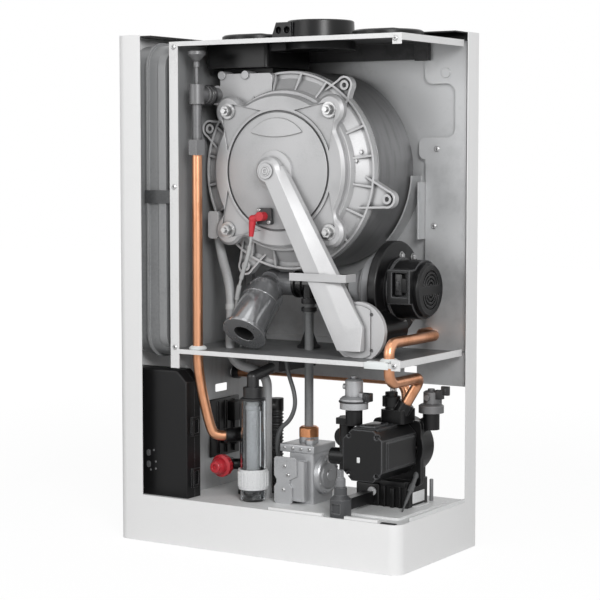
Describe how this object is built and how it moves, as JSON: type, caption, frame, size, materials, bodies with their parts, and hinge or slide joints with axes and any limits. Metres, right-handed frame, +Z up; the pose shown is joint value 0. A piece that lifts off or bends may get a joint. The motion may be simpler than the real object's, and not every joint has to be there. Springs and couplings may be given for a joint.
{
  "type": "gas boiler",
  "caption": "Wall-hung gas condensing boiler shown opened, with round heat exchanger, fan, gas valve, pump, copper pipes and control box in a white casing.",
  "frame": {"origin": "middle of the lower rear edge, on the wall plane", "axes": "+X to the right seen from the front, +Y into the wall, +Z up"},
  "size_m": [0.476, 0.23, 0.7572],
  "materials": {
    "white_paint": "satin white powder coat",
    "black_paint": "satin black powder coat",
    "galvanised_sheet": "galvanised sheet",
    "grey_paint": "grey enamel",
    "cast_aluminium": "sand-blasted casting",
    "machined_aluminium": "die-cast, lightly machined",
    "stainless": "stainless sheet",
    "zinc_steel": "zinc plated",
    "copper": "drawn copper tube",
    "copper_alloy": "machined nut",
    "black_plastic": "glass-filled moulding",
    "dark_plastic": "moulded",
    "clear_plastic": "clear moulding",
    "grey_rubber": "soft hose",
    "dark_rubber": "cable sheath",
    "pale_rubber": "translucent grommet",
    "red_rubber": "silicone boot",
    "red_plastic": "moulded knob",
    "grey_plastic": "moulded silencer",
    "button_plastic": "moulded button",
    "circuit_board": "laminate"
  },
  "bodies": {
    "boiler": {"outer_casing": "white_paint", "chamber_frame": "white_paint", "base_tray": "white_paint", "hanger_rail": "black_paint", "left_panel": "galvanised_sheet", "back_panel": "galvanised_sheet", "chamber_roof": "galvanised_sheet", "chamber_floor": "galvanised_sheet", "vessel_strap": "galvanised_sheet", "vessel_left_shell": "grey_paint", "vessel_right_shell": "grey_paint", "gas_pipe": "grey_paint", "hx_front_casting": "cast_aluminium", "burner_door": "cast_aluminium", "mixing_duct": "cast_aluminium", "fan_venturi": "cast_aluminium", "gas_valve_body": "machined_aluminium", "gas_valve_coil": "machined_aluminium", "gas_valve_bracket": "machined_aluminium", "diverter_actuator": "machined_aluminium", "flow_switch": "machined_aluminium", "hx_drum": "stainless", "burner_tube": "stainless", "door_nuts": "zinc_steel", "igniter": "zinc_steel", "flow_header": "zinc_steel", "flow_pipe": "copper", "return_pipe": "copper", "rear_pipe": "copper", "gas_nut": "copper_alloy", "fan_scroll": "black_plastic", "fan_motor": "black_plastic", "fan_motor_cap": "black_plastic", "pump_housing": "black_plastic", "pump_motor": "black_plastic", "flow_block": "black_plastic", "flue_duct": "black_plastic", "control_box": "black_plastic", "control_cover": "black_plastic", "intake_tube": "black_plastic", "ribbed_hose": "black_plastic", "tap_body": "black_plastic", "flue_adapter": "dark_plastic", "blanking_caps": "dark_plastic", "siphon_cap": "dark_plastic", "siphon_cup": "clear_plastic", "siphon_collar": "clear_plastic", "condensate_hose": "grey_rubber", "ignition_lead": "grey_rubber", "sensor_cable": "dark_rubber", "pipe_grommets": "pale_rubber", "igniter_boot": "red_rubber", "intake_silencer": "grey_plastic", "control_board": "circuit_board"},
    "fan_rotor": {"fan_rotor": "black_plastic"},
    "pump_rotor": {"pump_rotor": "stainless"},
    "safety_knob": {"safety_valve_knob": "red_plastic"},
    "filling_tap": {"tap_spindle": "black_plastic"},
    "button_up": {"button_up": "button_plastic"},
    "button_down": {"button_down": "button_plastic"}
  },
  "joints": [
    {"name": "fan_spin", "type": "hinge", "parent": "boiler", "child": "fan_rotor", "pos_m": [0.165, -0.092, 0.378], "axis": [1, 0, 0], "continuous": true},
    {"name": "pump_spin", "type": "hinge", "parent": "boiler", "child": "pump_rotor", "pos_m": [0.161, -0.11, 0.153], "axis": [0, 1, 0], "continuous": true},
    {"name": "safety_knob_turn", "type": "hinge", "parent": "boiler", "child": "safety_knob", "pos_m": [-0.1, -0.16, 0.11], "axis": [0, -1, 0], "range_deg": [0, 90]},
    {"name": "filling_tap_turn", "type": "hinge", "parent": "boiler", "child": "filling_tap", "pos_m": [0.131, -0.203, 0.11], "axis": [0, 0, 1], "range_deg": [0, 90]},
    {"name": "button_up_press", "type": "slide", "parent": "boiler", "child": "button_up", "axis": [0, 1, 0], "range_m": [0, 0.0012], "stiffness_N_per_m": 300},
    {"name": "button_down_press", "type": "slide", "parent": "boiler", "child": "button_down", "axis": [0, 1, 0], "range_m": [0, 0.0012], "stiffness_N_per_m": 300}
  ]
}
